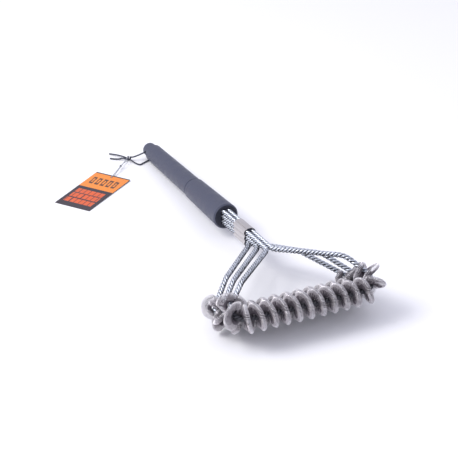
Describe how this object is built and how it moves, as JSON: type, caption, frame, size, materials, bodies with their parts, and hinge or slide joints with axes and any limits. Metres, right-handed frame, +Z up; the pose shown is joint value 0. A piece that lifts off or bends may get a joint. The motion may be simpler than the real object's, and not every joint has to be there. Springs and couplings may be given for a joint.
{
  "type": "grill cleaning brush",
  "caption": "Long-handled grill cleaning brush: round tapered handle, triangular twisted-wire loops clamped in a bundle, coiled wire brush wound on the bar of each loop, hanging cord and tag.",
  "frame": {"origin": "middle of the brush's box, on the surface it lies on", "axes": "+X from the butt of the handle to the head, +Y along the bars, +Z up"},
  "size_m": [0.4958, 0.2318, 0.0596],
  "materials": {
    "handle_plastic": "satin charcoal moulded plastic",
    "plug_plastic": "matte near-black plastic",
    "anchor_steel": "plain machined steel, hidden in the handle",
    "sleeve_steel": "thin rolled sheet steel, satin",
    "wire_steel": "bright drawn stainless wire",
    "coil_wire": "fine stainless wire, warm grey",
    "cord_fabric": "round black cord",
    "string_plastic": "clear thin plastic loop",
    "lock_plastic": "small dark catch",
    "tag_card": "printed card with plain coloured fields"
  },
  "bodies": {
    "brush": {"handle_shell": "handle_plastic", "front_plug": "plug_plastic", "wire_anchor": "anchor_steel", "clamp_sleeve": "sleeve_steel", "lower_loop_wire_a": "wire_steel", "lower_loop_wire_b": "wire_steel", "lower_loop_wire_c": "wire_steel", "middle_loop_wire_a": "wire_steel", "middle_loop_wire_b": "wire_steel", "middle_loop_wire_c": "wire_steel", "upper_loop_wire_a": "wire_steel", "upper_loop_wire_b": "wire_steel", "upper_loop_wire_c": "wire_steel", "lower_coil": "coil_wire", "middle_coil": "coil_wire", "upper_coil": "coil_wire"},
    "cord": {"hang_cord": "cord_fabric", "cord_knot": "cord_fabric", "cord_tails": "cord_fabric"},
    "tag": {"tag_string": "string_plastic", "tag_lock": "lock_plastic", "hang_tag": "tag_card"}
  },
  "joints": [
    {"name": "cord_swing", "type": "hinge", "parent": "brush", "child": "cord", "pos_m": [-0.2251, 0.0098, 0.0106], "axis": [0, 1, 0], "range_deg": [0, 30]},
    {"name": "tag_swing", "type": "hinge", "parent": "cord", "child": "tag", "pos_m": [-0.232, -0.0192, 0.0032], "axis": [-0.678, -0.735, 0], "range_deg": [0, 80]}
  ]
}
